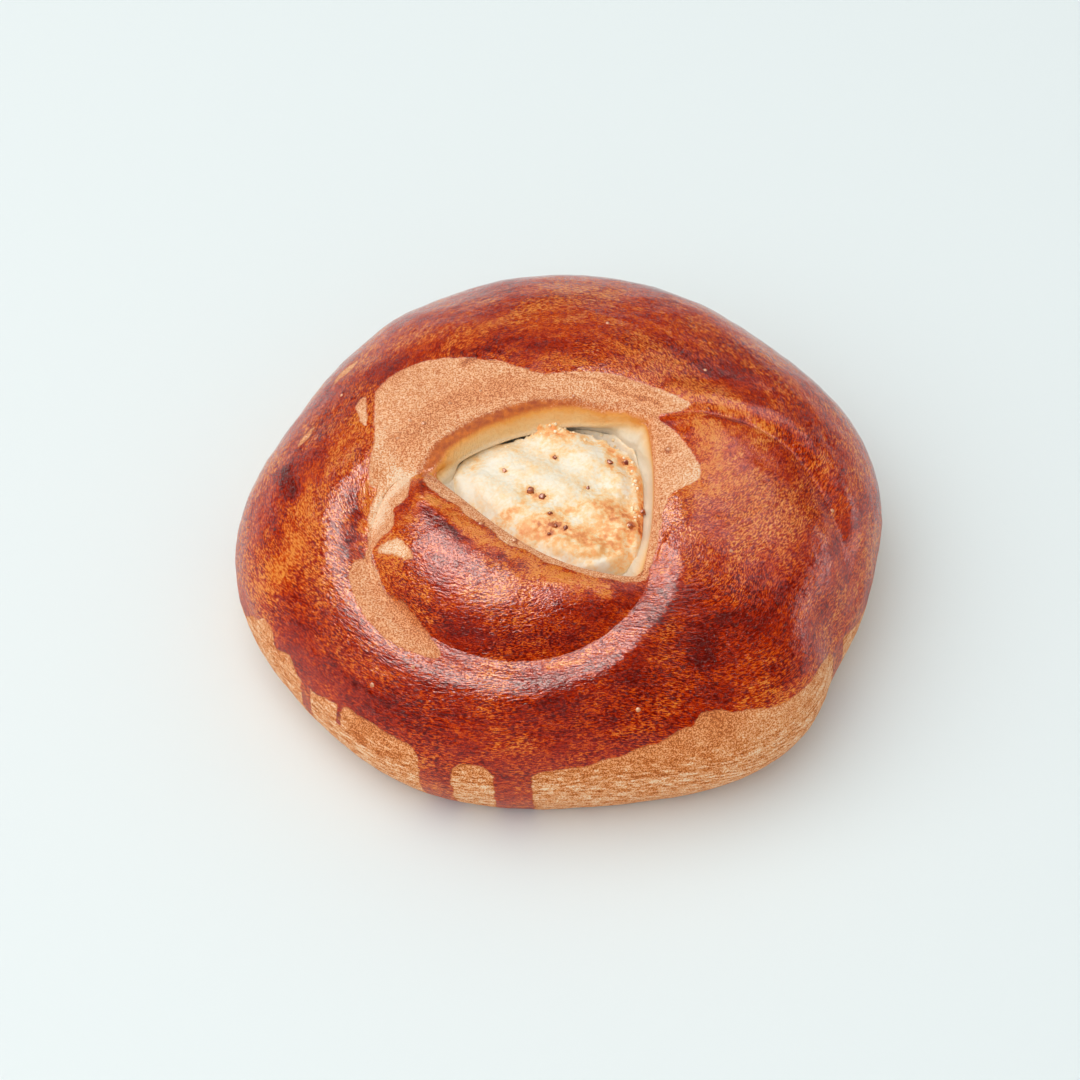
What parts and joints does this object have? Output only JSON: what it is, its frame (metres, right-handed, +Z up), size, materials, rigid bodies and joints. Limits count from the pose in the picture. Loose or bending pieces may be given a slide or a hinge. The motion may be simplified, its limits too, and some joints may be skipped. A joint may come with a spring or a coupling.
{
  "type": "cottage cheese bun",
  "caption": "Round folded sweet bun with a three-cornered opening on its crown, filled with baked cottage cheese.",
  "frame": {"origin": "middle of the bun's box, on the plane of its flat base", "axes": "+Z up from the base to the crown; -Y towards the roll that closes the front of the opening; +X towards the tucked lobe on the right"},
  "size_m": [0.1206, 0.1182, 0.0434],
  "materials": {
    "crust": "baked and egg-washed, glossy",
    "curd": "baked, grainy, matte"
  },
  "bodies": {
    "root": {"bun": "crust", "curd_filling": "curd"}
  },
  "joints": []
}
